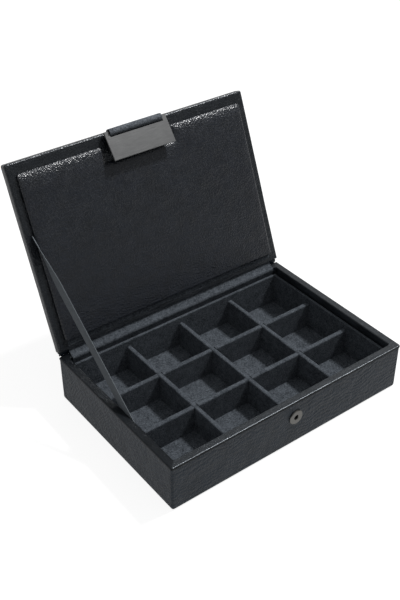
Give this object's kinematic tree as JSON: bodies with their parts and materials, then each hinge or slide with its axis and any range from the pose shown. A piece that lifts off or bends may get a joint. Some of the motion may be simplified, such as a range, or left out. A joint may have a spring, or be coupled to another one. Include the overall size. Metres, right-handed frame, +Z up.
{
  "type": "cufflink box",
  "caption": "Leather-covered cufflink box with a velvet tray of small compartments, a hinged padded lid held by a ribbon, and a strap with a metal plate that snaps shut.",
  "frame": {"origin": "centre of the underside of the case", "axes": "+X to the right across the width, +Y to the rear hinge, +Z up; the front is -Y"},
  "size_m": [0.1806, 0.1723, 0.1538],
  "materials": {
    "leather": "fine-grained, semi-matt",
    "panel_leather": "fine-grained, semi-matt",
    "velvet": "short pile",
    "ribbon": "woven, matt",
    "underside": "matt",
    "board": "matt",
    "foam": "open-cell foam",
    "nickel": "satin",
    "gunmetal": "satin",
    "magnet": "dull"
  },
  "bodies": {
    "case": {"bottom_board": "board", "front_wall_board": "board", "rear_wall_board": "board", "left_wall_board": "board", "right_wall_board": "board", "front_wrap": "leather", "left_wrap": "leather", "right_wrap": "leather", "rear_cover": "leather", "underside_sheet": "underside", "rim_trim_front": "leather", "rim_trim_left": "leather", "rim_trim_right": "leather", "liner_floor": "velvet", "liner_front_wall": "velvet", "liner_rear_wall": "velvet", "liner_left_wall": "velvet", "liner_right_wall": "velvet", "long_divider_front": "velvet", "long_divider_rear": "velvet", "short_divider_left": "velvet", "short_divider_middle": "velvet", "short_divider_right": "velvet", "snap_socket": "nickel", "snap_magnet": "magnet", "snap_washer": "nickel", "hinge_band": "velvet", "spine_leather": "leather", "stay_ribbon": "ribbon"},
    "lid": {"lid_wrap": "leather", "lid_board": "board", "lid_rear_strip": "leather", "lid_lining_card": "velvet", "strap_tail": "velvet", "panel_board": "board", "panel_foam": "foam", "panel_cover": "panel_leather"},
    "strap": {"strap_loop": "velvet"},
    "plate": {"closure_plate": "gunmetal", "stud_base": "nickel", "stud_pin": "nickel"}
  },
  "joints": [
    {"name": "lid_hinge", "type": "hinge", "parent": "case", "child": "lid", "pos_m": [0, 0.06095, 0.0365], "axis": [1, 0, 0], "range_deg": [0, 112], "deforming": ["hinge_band", "spine_leather", "stay_ribbon"]},
    {"name": "strap_bend", "type": "hinge", "parent": "lid", "child": "strap", "pos_m": [0, 0.10534, 0.15117], "axis": [-1, 0, 0], "range_deg": [0, 84]},
    {"name": "plate_swing", "type": "hinge", "parent": "strap", "child": "plate", "pos_m": [0, 0.10226, 0.15155], "axis": [-1, 0, 0], "range_deg": [-11, 80]}
  ],
  "couplings": [
    {"joint": "strap_bend", "follows": "lid_hinge", "ratio": 0.75}
  ]
}
